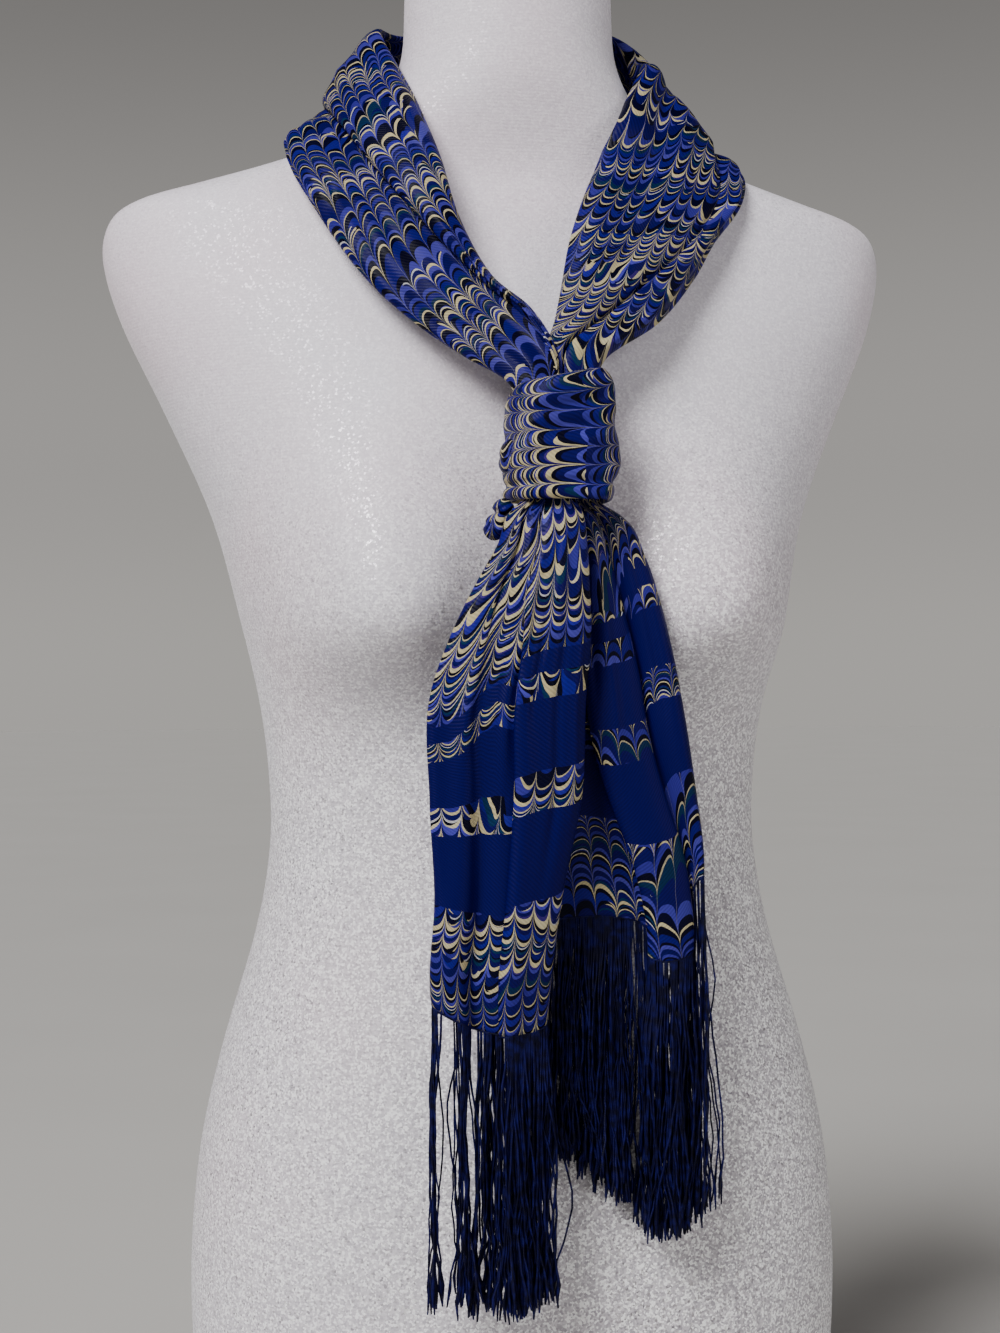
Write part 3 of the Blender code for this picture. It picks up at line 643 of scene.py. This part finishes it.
def knotPoints():
    s = knotSettings
    profile = np.array(s["profile"])
    shares = np.linspace(0, len(profile) - 1, s["up"] + 1)
    up, out = through(np.arange(len(profile)), profile, shares).T
    turn = np.linspace(0, 1, s["around"] + 1)[:, None]
    wide = through(*np.array(s["widths"]).T, up)
    out = out / 1000 + creaseLift(s["creases"], up[None, :], turn, 1.0)
    wobble = sum(size * np.sin(2 * np.pi * (turn * times + up * rise)) for size, times, rise in s["wobbles"])
    halfWidth, back = s["halfWidth"] * wide + out + wobble, s["halfDepth"] + out
    x, y = oval(2 * np.pi * turn, halfWidth, back + wobble, back, s["squareness"])
    height = s["bottom"] + (s["top"] + s["topSlope"] * x - s["bottom"]) * up
    return np.stack([s["centre"][0] + x, s["centre"][1] + y, height], axis=2)


points = knotPoints()
share = arcShare(points.transpose(1, 0, 2))[0].T
across, along = knotSettings["printAt"]
around = 2 * np.pi * knotSettings["printRadius"] * np.linspace(0, 1, knotSettings["around"] + 1)[:, None]
maps = {
    "across": share * knotSettings["printWidth"] + across,
    "along": np.broadcast_to(around + along, share.shape),
    "fromHem": np.full(share.shape, farFromHem),
}
bm = gridMesh(points, True, maps)
# rolls of the wrap underneath, which show at the left of the knot, and the one that fills its top
underRolls = table(
    "x y z halfWidth halfDepth halfHeight turn",
    [
        (-0.0325, -0.1265, 0.4945, 0.0056, 0.0060, 0.0064, 25),
        (-0.0285, -0.1240, 0.5035, 0.0050, 0.0062, 0.0042, -15),
        (-0.0255, -0.1225, 0.5270, 0.0046, 0.0080, 0.0080, 10),
        (-0.0010, -0.1185, 0.5540, 0.0195, 0.0150, 0.0060, -10),
    ],
)
rollSettings = {
    "segments": 40,
    "rings": 24,
    "pinch": 0.16,  # a soft groove round each roll
    "pinchAt": 0.1,
    "pinchTilt": 0.25,
    "pinchWidth": 0.22,
    "printAt": (0.352, -0.088),
    "printTurn": (0.9, -0.5),
}
flat, fromHem = bm.loops.layers.uv["silkMap"], bm.verts.layers.float["fromHem"]
s = rollSettings
for x, y, z, halfWidth, halfDepth, halfHeight, turn in np.array(list(underRolls.values())).T.tolist():
    made = bmesh.ops.create_uvsphere(bm, u_segments=s["segments"], v_segments=s["rings"], radius=1.0)
    ball = made["verts"]
    for vert in ball:
        off = (vert.co.z - s["pinchTilt"] * vert.co.x - s["pinchAt"]) / s["pinchWidth"]
        vert.co.xy *= 1 - s["pinch"] * math.exp(-(off**2))
    bmesh.ops.scale(bm, verts=ball, vec=(halfWidth, halfDepth, halfHeight))
    bmesh.ops.rotate(bm, verts=ball, cent=(0, 0, 0), matrix=Matrix.Rotation(math.radians(turn), 3, "Y"))
    bmesh.ops.translate(bm, verts=ball, vec=(x, y, z))
    for vert in ball:
        vert[fromHem] = farFromHem
        across = s["printAt"][0] + s["printTurn"][0] * vert.co.x + s["printTurn"][1] * vert.co.y
        for loop in vert.link_loops:
            loop[flat].uv = (across, vert.co.z + s["printAt"][1])
bmesh.ops.recalc_face_normals(bm, faces=bm.faces)
knotWrap = addPiece("knotWrap", bm, silk, "knot", knotSettings["wall"], -1.0)
print("knot made")

# The two ends that hang from the knot
tailTop = 0.5115

# Folds of each end, a row for each place across: share across and millimetres back, at the knot, at
# the widest place and at the hem, whose height comes next, and how much faster the print runs than
# the drop
foldColumns = "topAcross topBack midAcross midBack hemAcross hemBack hem run"
frontFolds = table(
    foldColumns,
    [
        (0.86, 7.0, 0.86, 8.0, 0.86, 8.0, 0.276, 1.06), (0.6, 8.0, 0.6, 8.6, 0.6, 8.6, 0.2745, 1.1),
        (0.34, 7.6, 0.34, 8.2, 0.34, 8.4, 0.274, 1.15), (0.14, 6.4, 0.12, 7.2, 0.12, 7.6, 0.275, 1.22),
        (0.03, 4.0, 0.02, 4.6, 0.02, 5.0, 0.277, 1.28), (0.0, 0.6, 0.0, 1.4, 0.0, 2.2, 0.2785, 1.3),
        (0.04, -2.4, 0.04, -1.0, 0.03, -0.6, 0.278, 1.29), (0.11, -4.6, 0.12, -2.6, 0.1, -2.4, 0.2755, 1.26),
        (0.17, -4.0, 0.2, -3.0, 0.18, -2.6, 0.273, 1.22), (0.175, -2.4, 0.25, -2.4, 0.25, -1.6, 0.271, 1.19),
        (0.12, -0.6, 0.29, -1.0, 0.31, 1.2, 0.2695, 1.17), (0.17, -0.4, 0.33, -0.8, 0.36, 3.4, 0.2685, 1.15),
        (0.24, -3.2, 0.38, -1.6, 0.41, 3.6, 0.2675, 1.15), (0.31, -5.4, 0.44, -2.6, 0.47, 1.4, 0.2668, 1.14),
        (0.385, -4.8, 0.5, -2.8, 0.54, -0.4, 0.2662, 1.13), (0.39, -3.2, 0.555, -3.0, 0.585, -1.4, 0.266, 1.11),
        (0.36, -2.0, 0.535, -5.8, 0.55, -4.6, 0.266, 1.05), (0.4, -2.4, 0.6, -7.4, 0.61, -7.8, 0.266, 1.03),
        (0.48, -4.2, 0.69, -6.2, 0.7, -7.0, 0.2662, 1.01), (0.58, -5.8, 0.78, -6.0, 0.8, -4.6, 0.2665, 1.0),
        (0.7, -6.2, 0.86, -5.2, 0.87, -3.4, 0.267, 1.0), (0.84, -5.4, 0.94, -3.2, 0.94, -1.6, 0.268, 1.0),
        (0.95, -3.2, 0.99, -1.0, 0.99, 0.2, 0.2695, 1.0), (1.0, 0.0, 1.0, 1.0, 1.0, 1.6, 0.271, 1.0),
        (0.93, 2.6, 0.93, 3.2, 0.93, 3.6, 0.273, 1.0), (0.72, 3.6, 0.72, 4.2, 0.72, 4.4, 0.273, 1.0),
        (0.48, 4.0, 0.48, 4.6, 0.48, 4.8, 0.2725, 1.0), (0.26, 3.4, 0.28, 3.8, 0.28, 4.0, 0.272, 1.0),
    ],
)
backFolds = table(
    foldColumns,
    [
        (0.56, 8.0, 0.56, 8.8, 0.56, 8.8, 0.314, 1.1), (0.32, 8.6, 0.32, 9.2, 0.32, 9.2, 0.312, 1.1),
        (0.1, 7.6, 0.1, 8.4, 0.1, 8.4, 0.312, 1.12), (0.0, 4.4, 0.0, 5.4, 0.0, 6.0, 0.313, 1.2),
        (0.03, 0.4, 0.03, 3.4, 0.04, 4.6, 0.314, 1.26), (0.1, -2.4, 0.08, 3.0, 0.12, 5.8, 0.3145, 1.28),
        (0.18, -4.4, 0.13, 3.4, 0.23, 5.4, 0.315, 1.28), (0.23, -3.2, 0.19, 4.2, 0.34, 6.6, 0.315, 1.28),
        (0.24, -1.2, 0.25, 4.6, 0.46, 7.0, 0.314, 1.28), (0.27, -0.4, 0.33, 4.4, 0.6, 6.4, 0.312, 1.26),
        (0.28, -1.2, 0.38, 3.0, 0.7, 4.4, 0.306, 1.2), (0.29, -2.2, 0.335, 0.6, 0.675, 1.4, 0.3, 1.14),
        (0.32, -3.8, 0.305, -1.8, 0.645, -1.0, 0.297, 1.13), (0.37, -5.2, 0.34, -4.2, 0.67, -3.6, 0.2955, 1.12),
        (0.45, -5.8, 0.42, -5.6, 0.74, -5.2, 0.2945, 1.11), (0.52, -5.4, 0.53, -5.4, 0.82, -5.2, 0.295, 1.1),
        (0.58, -3.6, 0.63, -4.2, 0.89, -3.8, 0.2965, 1.1), (0.59, -1.6, 0.705, -1.8, 0.935, -1.4, 0.299, 1.1),
        (0.57, 0.4, 0.705, 1.4, 0.925, 1.8, 0.305, 1.12), (0.61, 1.4, 0.67, 3.2, 0.895, 3.8, 0.313, 1.15),
        (0.66, 0.2, 0.72, 3.0, 0.915, 3.4, 0.322, 1.18), (0.7, -2.4, 0.765, 0.4, 0.945, 1.6, 0.328, 1.2),
        (0.77, -4.2, 0.82, -1.8, 0.965, 0.2, 0.331, 1.2), (0.85, -4.4, 0.88, -3.2, 0.978, -0.8, 0.332, 1.2),
        (0.93, -3.2, 0.94, -3.2, 0.99, -0.8, 0.333, 1.2), (0.98, -1.2, 0.98, -1.4, 0.998, 0.2, 0.333, 1.2),
        (1.0, 1.2, 1.0, 1.4, 1.0, 2.0, 0.3325, 1.2), (0.96, 4.0, 0.96, 4.2, 0.96, 4.6, 0.331, 1.2),
        (0.82, 5.6, 0.82, 6.0, 0.82, 6.0, 0.33, 1.2), (0.65, 5.8, 0.65, 6.6, 0.65, 6.8, 0.33, 1.2),
    ],
)

frontTail = {
    "outline": table(
        "drop left right depth thick",
        [
            (0.000, -0.0185, 0.0030, -0.1275, 0.60), (0.005, -0.0203, 0.0045, -0.1280, 0.60),
            (0.010, -0.0260, 0.0065, -0.1310, 0.75), (0.025, -0.0325, 0.0080, -0.1345, 0.85),
            (0.042, -0.0425, 0.0085, -0.1365, 0.92), (0.069, -0.0560, 0.0085, -0.1385, 0.97),
            (0.091, -0.0640, 0.0060, -0.1395, 1.00), (0.140, -0.0650, 0.0035, -0.1395, 1.00),
            (0.184, -0.0630, -0.0055, -0.1395, 1.00), (0.228, -0.0650, -0.0115, -0.1395, 1.00),
            (0.245, -0.0625, -0.0130, -0.1395, 1.00),
        ],
    ),
    "folds": frontFolds,
    "creases": [
        (0.00, 0.52, 0.150, 0.46, 0.0022, 0.0014), (0.00, 0.66, 0.120, 0.64, 0.0018, -0.0012),
        (0.00, 0.80, 0.190, 0.82, 0.0026, -0.0016), (0.02, 0.30, 0.130, 0.22, 0.0028, 0.0015),
        (0.06, 0.12, 0.200, 0.10, 0.0050, -0.0014), (0.10, 0.38, 0.245, 0.30, 0.0070, -0.0012),
        (0.05, 0.92, 0.160, 0.94, 0.0020, 0.0010),
    ],
    "mid": 0.095,  # how far down its widest place is
    # share across at the hem, and how much further from the hem the print is read there
    "sway": ((0.00, 0.12, 0.30, 0.45, 0.56, 0.75), (0.011, 0.009, 0.002, -0.007, -0.003, 0.0)),
    "flatWidth": 0.168,
    "printStart": 0.0,
    "printTurn": 1,
    "printAcross": 0.62,
}
backTail = {
    "outline": table(
        "drop left right depth thick",
        [
            (0.000, -0.0035, 0.0155, -0.1145, 0.45), (0.005, -0.0045, 0.0197, -0.1145, 0.45),
            (0.010, -0.0050, 0.0275, -0.1165, 0.65), (0.031, -0.0070, 0.0400, -0.1190, 0.85),
            (0.048, -0.0085, 0.0455, -0.1205, 0.92), (0.068, -0.0095, 0.0505, -0.1215, 0.97),
            (0.105, -0.0100, 0.0575, -0.1225, 1.00), (0.142, -0.0100, 0.0630, -0.1225, 1.00),
            (0.166, -0.0095, 0.0660, -0.1225, 1.00), (0.189, -0.0090, 0.0660, -0.1225, 1.00),
            (0.219, -0.0085, 0.0650, -0.1225, 1.00),
        ],
    ),
    "folds": backFolds,
    "creases": [
        (0.00, 0.34, 0.110, 0.38, 0.0022, -0.0014), (0.00, 0.46, 0.140, 0.50, 0.0022, 0.0014),
        (0.00, 0.84, 0.120, 0.86, 0.0020, -0.0012), (0.05, 0.10, 0.210, 0.10, 0.0030, 0.0012),
    ],
    "mid": 0.095,  # how far down its widest place is
    "sway": ((0.0, 1.0), (0.0, 0.0)),
    "flatWidth": 0.176,
    "printStart": 2.40,
    "printTurn": -1,
    "printAcross": 0.45,
}
tailSettings = {
    "columns": 150,
    "rows": 120,
    "rowsEase": 1.15,  # rows lie closer together near the knot
    "wall": 0.0007,
    "clear": 0.0016,
    "frontShares": ((0.19, 0.24), (0.14, 0.18)),  # of the section, from each end, where its front starts
    "swayAt": 0.162,  # from the hem
    "swayWidth": 0.040,
    "printAt": 0.6,
}


def foldsAt(folds, names, shares):
    rows = np.stack([folds[name] for name in names.split()], axis=1)
    return through(np.arange(len(rows)), rows, shares * (len(rows) - 1)).T


def tailPoints(tail):
    s = tailSettings
    shares = np.linspace(0, 1, s["columns"] + 1)
    read = foldsAt(tail["folds"], foldColumns, shares)
    hem, run = read[6], read[7]
    down = np.linspace(0, 1, s["rows"] + 1)[None, :]
    whole = (tailTop - hem)[:, None]
    drop = whole * down ** s["rowsEase"]
    upper = softStep(0.0, 1.0, drop / tail["mid"])
    lower = softStep(0.0, 1.0, (drop - tail["mid"]) / (whole - tail["mid"]))
    across = read[0][:, None] + (read[2] - read[0])[:, None] * upper + (read[4] - read[2])[:, None] * lower
    back = read[1][:, None] + (read[3] - read[1])[:, None] * upper + (read[5] - read[3])[:, None] * lower
    outline = columnsOf(tail["outline"], "left right depth thick", "drop", drop.ravel())
    left, right, depth, thick = [column.reshape(drop.shape) for column in outline]
    fromStart, fromEnd = s["frontShares"]
    front = softStep(*fromStart, shares) * softStep(*fromEnd, 1 - shares)
    lift = creaseLift(tail["creases"], across, drop, right - left) * front[:, None]
    x = left + (right - left) * across
    y = depth + thick * back / 1000 - lift
    points = keptClear(np.stack([x, y, tailTop - drop], axis=2), formTree, s["wall"] / 2 + s["clear"])
    fromHem = (whole - drop) * run[:, None]
    sway = np.interp(read[4], *tail["sway"])[:, None]  # the uppermost bands slant with the cloth
    return points, fromHem + sway * np.exp(-(((fromHem - s["swayAt"]) / s["swayWidth"]) ** 2))


tails = {}
for side, tail in (("Front", frontTail), ("Back", backTail)):
    points, fromHem = tailPoints(tail)
    share = arcShare(points)[0]
    maps = {
        "across": (share - tail["printAcross"]) * tail["flatWidth"] + tailSettings["printAt"],
        "along": tail["printStart"] + tail["printTurn"] * fromHem,
        "fromHem": fromHem,
    }
    bm = gridMesh(points, False, maps)
    node = "tail_" + side.lower()
    tails[side] = addPiece("tail" + side, bm, silk, node, tailSettings["wall"])
    tail["hemLine"] = points[:, -1]
    tail["area"] = sum(face.area for face in tails[side].data.polygons)
print("tails made")

# The fringe: single threads in bunches
fringeSettings = {
    "thread": 0.00052,  # radius
    "hemCord": 0.00065,
    "points": 17,
    "clear": 0.0015,
    "lean": 0.0012,
    "ends": (-0.003, 0.012),  # how much higher than its bunch a thread may end
    "gather": (0.7, 1.1),
    "wave": 0.0023,
    "crimp": 0.0005,
    "crimps": 7,
    "splay": 0.0032,
    "slant": 0.0012,
    "forward": 0.004,
    "start": 0.0004,  # above the hem
    "thickness": (0.9, 1.12),
    "knot": 1.7,  # a small knot near the end, then a thin tip
    "tip": 0.8,
    "seeds": {"Front": 11, "Back": 23},
    # for each bunch: where along the hem it starts and ends, its threads, how far they draw together,
    # and the height that they reach down to
    "Front": [
        (0.300, 0.345, 10, 0.75, 0.1440), (0.395, 0.455, 18, 0.78, 0.1420), (0.480, 0.525, 14, 0.70, 0.1410),
        (0.535, 0.575, 14, 0.70, 0.1400), (0.600, 0.690, 42, 0.25, 0.1420), (0.690, 0.765, 30, 0.30, 0.1480),
        (0.000, 0.050, 18, 0.30, 0.1470), (0.795, 0.870, 24, 0.35, 0.1450), (0.085, 0.120, 6, 0.70, 0.1460),
        (0.190, 0.225, 6, 0.70, 0.1480), (0.910, 0.945, 6, 0.70, 0.1450),
    ],
    "Back": [
        (0.010, 0.090, 26, 0.25, 0.1860), (0.090, 0.170, 26, 0.25, 0.2020), (0.170, 0.240, 16, 0.30, 0.2060),
        (0.240, 0.300, 34, 0.25, 0.2040), (0.300, 0.360, 36, 0.25, 0.1950), (0.360, 0.420, 34, 0.25, 0.1830),
        (0.420, 0.500, 30, 0.30, 0.1710), (0.525, 0.580, 26, 0.30, 0.1665), (0.580, 0.650, 36, 0.25, 0.1690),
        (0.650, 0.720, 14, 0.30, 0.1740), (0.720, 0.800, 14, 0.30, 0.1760), (0.800, 0.900, 22, 0.30, 0.1780),
        (0.900, 0.990, 26, 0.25, 0.1720),
    ],
}


def addFringe(side, tail):
    s = fringeSettings
    rng = np.random.default_rng(s["seeds"][side])
    line = tail["hemLine"]
    steps = np.linalg.norm(np.diff(line, axis=0), axis=1)
    run = np.concatenate([[0.0], np.cumsum(steps)])
    run = run / run[-1]
    curve = bpy.data.curves.new("fringe" + side, "CURVE")
    curve.dimensions = "3D"
    curve.bevel_depth = s["thread"]
    curve.bevel_resolution = 0
    curve.use_fill_caps = True

    def addSpline(path, radii):
        spline = curve.splines.new("POLY")
        spline.points.add(len(path) - 1)
        for point, place, radius in zip(spline.points, path, radii):
            point.co = (*place, 1.0)
            point.radius = radius

    def onHem(place):
        return np.array([np.interp(place, run, line[:, k]) for k in range(3)])

    addSpline(line[::2], [s["hemCord"] / s["thread"]] * len(line[::2]))
    down = np.linspace(0, 1, s["points"])
    early, late, atEnd = softStep(0.0, 0.35, down), softStep(0.6, 1.0, down), softStep(0.70, 1.0, down)
    for start, end, count, draw, lowest in s[side]:
        middle = onHem((start + end) / 2)
        lean = rng.normal(0, s["lean"], 2)
        for place in np.sort(rng.uniform(start, end, count)):
            root = onHem(place)
            own = root[2] - lowest - rng.uniform(*s["ends"]) * rng.uniform(0, 1)
            gather = draw * early * rng.uniform(*s["gather"]) * (1 - 0.5 * late)
            path = np.zeros((s["points"], 3))
            for k in (0, 1):
                bend = rng.normal(0, 1, 4)
                waves = [(n + 1.5, b) for n, b in enumerate(bend)]
                wander = sum(b * np.sin(np.pi * turns * down + 2 * b) / turns for turns, b in waves)
                wander = (wander - wander[0]) * s["wave"] * early
                wander = wander + s["crimp"] * np.sin(2 * np.pi * (down * s["crimps"] + bend[0])) * down
                splay = rng.normal(0, s["splay"]) * atEnd + rng.normal(0, s["slant"]) * down
                path[:, k] = root[k] + (middle[k] - root[k]) * gather + lean[k] * down + wander + splay
            path[:, 1] -= s["forward"] * down
            path[:, 2] = root[2] - own * down + s["start"]
            path = keptClear(path, formTree, s["clear"])
            thick = rng.uniform(*s["thickness"])
            radii = np.full(s["points"], thick)
            radii[-2] = thick * s["knot"]
            radii[-1] = thick * s["tip"]
            addSpline(path, radii)
    piece = bpy.data.objects.new("fringe" + side, curve)
    bpy.context.scene.collection.objects.link(piece)
    curve.materials.append(thread)
    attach(piece, "root")
    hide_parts("fringe_" + side.lower())
    return piece


fringes = {"Front": addFringe("Front", frontTail), "Back": addFringe("Back", backTail)}
print("fringes made")
# Floor, light and camera
studio = {
    "floor": ("#bcb9b5", "#c2bfbb"),
    "floorScale": 3.0,
    "floorRadius": 14.0,
    "floorDrop": 0.0005,
    # a plain wall, darker towards the ceiling
    "wall": [(0.0, "#aeaba7"), (0.10, "#a29f9c"), (0.35, "#73716f"), (0.62, "#262524")],
    # place, aim, size, watts, colour
    "lamps": {
        "key": ((-1.0, -1.2, 1.45), (0, 0, 0.42), 0.6, 14.0, (1.0, 0.995, 0.985)),
        "fill": ((1.2, -1.4, 1.2), (0, 0, 0.35), 1.2, 9.0, (0.98, 0.97, 1.0)),
    },
    "windowLight": 3.3,
    "windowSize": 26,  # degrees
    "windowDirection": (0.66, 0.66, -0.95),
}

view = {
    "film": 36.0,
    "lens": 57.63,
    "shift": -11 / 1333,
    "turn": 11.5,  # degrees
    "roll": -0.3,
    "distance": 1.1,
    "height": 0.431,
}


def makeFloor():
    material, tree, shader = newMaterial("paleFloor")
    place = addNode(tree, "ShaderNodeTexCoord", {}, {})["Object"]
    tone = cloud(tree, place, studio["floorScale"], 2.0)
    colour = mixed(tree, tone, *[hexColour(code) for code in studio["floor"]])
    tree.links.new(colour, shader.inputs["Base Color"])
    shader.inputs["Roughness"].default_value = 0.9
    bm = bmesh.new()
    bmesh.ops.create_circle(bm, cap_ends=True, segments=96, radius=studio["floorRadius"])
    bmesh.ops.translate(bm, verts=bm.verts, vec=(0, 0, -studio["floorDrop"]))
    mesh = bpy.data.meshes.new("floor")
    bm.to_mesh(mesh)
    bm.free()
    mesh.materials.append(material)
    floor = bpy.data.objects.new("floor", mesh)
    bpy.context.scene.collection.objects.link(floor)


def makeWall():
    world = bpy.data.worlds.new("studio")
    bpy.context.scene.world = world
    world.use_nodes = True
    tree = world.node_tree
    place = addNode(tree, "ShaderNodeTexCoord", {}, {})["Generated"]
    height = addNode(tree, "ShaderNodeSeparateXYZ", {}, {"Vector": place})["Z"]
    wall = addNode(tree, "ShaderNodeValToRGB", {}, {"Fac": height})["Color"]
    setRamp(wall.node.color_ramp, studio["wall"], "EASE")
    tree.links.new(wall, tree.nodes["Background"].inputs["Color"])
    tree.nodes["Background"].inputs["Strength"].default_value = 1.0


def addLamp(name, light, place, direction):
    lamp = bpy.data.objects.new(name, light)
    bpy.context.scene.collection.objects.link(lamp)
    lamp.location = place
    lamp.rotation_euler = direction.to_track_quat("-Z", "Y").to_euler()


makeFloor()
makeWall()
for name, (place, aim, size, watts, colour) in studio["lamps"].items():
    light = bpy.data.lights.new(name, "AREA")
    light.shape = "DISK"
    light.size, light.energy, light.color = size, watts, colour
    addLamp(name, light, place, Vector(aim) - Vector(place))
sun = bpy.data.lights.new("window", "SUN")
sun.energy, sun.angle = studio["windowLight"], math.radians(studio["windowSize"])
addLamp("window", sun, (0, 0, 0), Vector(studio["windowDirection"]))

cameraData = bpy.data.cameras.new("camera")
camera = bpy.data.objects.new("camera", cameraData)
bpy.context.scene.collection.objects.link(camera)
cameraData.sensor_width = view["film"]
cameraData.lens = view["lens"]
cameraData.shift_x = view["shift"]
turn, quarter, roll = math.radians(view["turn"]), math.pi / 2, math.radians(view["roll"])
level = Matrix.Rotation(-turn, 4, "Z") @ Matrix.Rotation(quarter, 4, "X") @ Matrix.Rotation(roll, 4, "Z")
place = (-view["distance"] * math.sin(turn), -view["distance"] * math.cos(turn), view["height"])
camera.matrix_world = Matrix.Translation(place) @ level
bpy.context.scene.camera = camera

print("scene ready")
